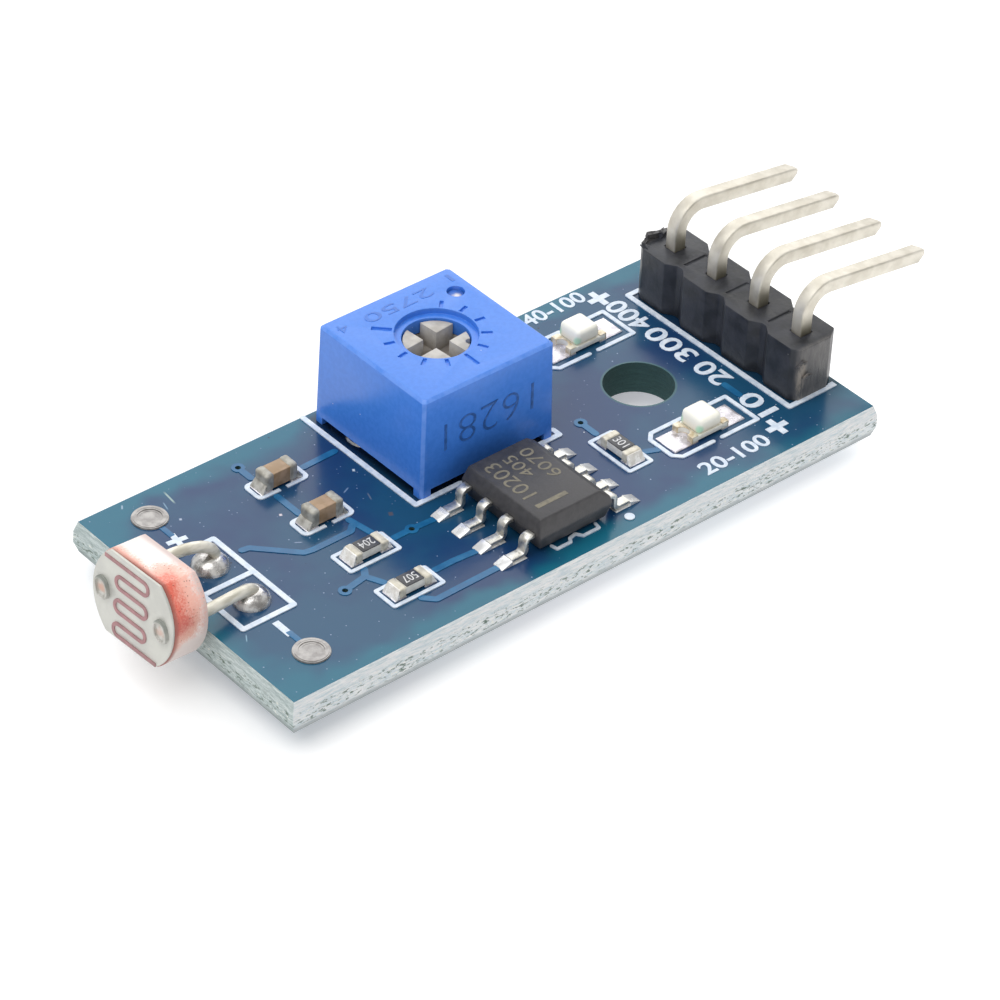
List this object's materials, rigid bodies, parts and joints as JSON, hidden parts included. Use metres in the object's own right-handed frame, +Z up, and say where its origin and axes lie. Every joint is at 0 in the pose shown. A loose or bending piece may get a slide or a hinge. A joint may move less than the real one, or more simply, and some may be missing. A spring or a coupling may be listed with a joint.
{
  "type": "photoresistor light sensor module",
  "caption": "Small blue circuit board with a photoresistor on bent leads, a turnable trimmer, a chip, lamps and a bent pin header.",
  "frame": {"origin": "on the mounting hole's axis at the board's underside", "axes": "+X along the board towards the header pins, +Z up out of the component side"},
  "size_m": [0.038, 0.0139, 0.0071],
  "materials": {
    "blue_board": "glossy deep blue solder mask over pale glass laminate",
    "masked_trace": "copper under translucent blue mask, glossy",
    "white_ink": "printed white ink, matte",
    "solder": "bright solder with dark reflections",
    "red_flushed_ceramic": "matte ceramic flushed red-orange round the rim",
    "grey_film": "satin light grey film",
    "rose_track": "matte dusty rose track",
    "tinned_wire": "dull tinned wire",
    "blue_plastic": "satin moulded blue plastic",
    "grey_plastic": "matte warm grey plastic",
    "spring_brass": "bright spring metal",
    "white_ceramic": "matte white ceramic",
    "dark_glaze": "dark satin glaze",
    "tin_plate": "satin tin plate",
    "black_epoxy": "matte moulded epoxy",
    "tan_ceramic": "satin tan ceramic",
    "silver_cap": "satin silver-grey metal",
    "lamp_board": "creamy white laminate",
    "lamp_lens": "creamy see-through resin",
    "gilt_contact": "dull gilt copper",
    "black_plastic": "matte charcoal plastic"
  },
  "bodies": {
    "module": {"circuit_board": "blue_board", "copper_traces": "masked_trace", "silkscreen": "white_ink", "test_pads": "solder", "photoresistor_disc": "red_flushed_ceramic", "photoresistor_film": "grey_film", "photoresistor_track": "rose_track", "photoresistor_terminals": "solder", "photoresistor_far_lead": "tinned_wire", "photoresistor_near_lead": "tinned_wire", "far_lead_solder": "solder", "near_lead_solder": "solder", "trimmer_housing": "blue_plastic", "trimmer_element": "white_ceramic", "trimmer_track": "dark_glaze", "trimmer_pins": "tin_plate", "trimmer_solder": "solder", "chip_body": "black_epoxy", "chip_leads": "tin_plate", "chip_solder": "solder", "first_capacitor_body": "tan_ceramic", "first_capacitor_ends": "silver_cap", "second_capacitor_body": "tan_ceramic", "second_capacitor_ends": "silver_cap", "first_resistor_body": "white_ceramic", "first_resistor_coat": "dark_glaze", "first_resistor_ends": "silver_cap", "second_resistor_body": "white_ceramic", "second_resistor_coat": "dark_glaze", "second_resistor_ends": "silver_cap", "third_resistor_body": "white_ceramic", "third_resistor_coat": "dark_glaze", "third_resistor_ends": "silver_cap", "far_lamp_base": "lamp_board", "far_lamp_lens": "lamp_lens", "far_lamp_contacts": "gilt_contact", "near_lamp_base": "lamp_board", "near_lamp_lens": "lamp_lens", "near_lamp_contacts": "gilt_contact", "surface_solder": "solder", "header_block": "black_plastic", "header_pin_1": "tin_plate", "header_pin_2": "tin_plate", "header_pin_3": "tin_plate", "header_pin_4": "tin_plate", "header_solder": "solder"},
    "rotor": {"trimmer_rotor": "grey_plastic", "trimmer_wiper": "spring_brass"}
  },
  "joints": [
    {"name": "trimmer_turn", "type": "hinge", "parent": "module", "child": "rotor", "pos_m": [-0.00855, 0.00285, 0], "axis": [0, 0, 1], "range_deg": [-180, 80]}
  ]
}
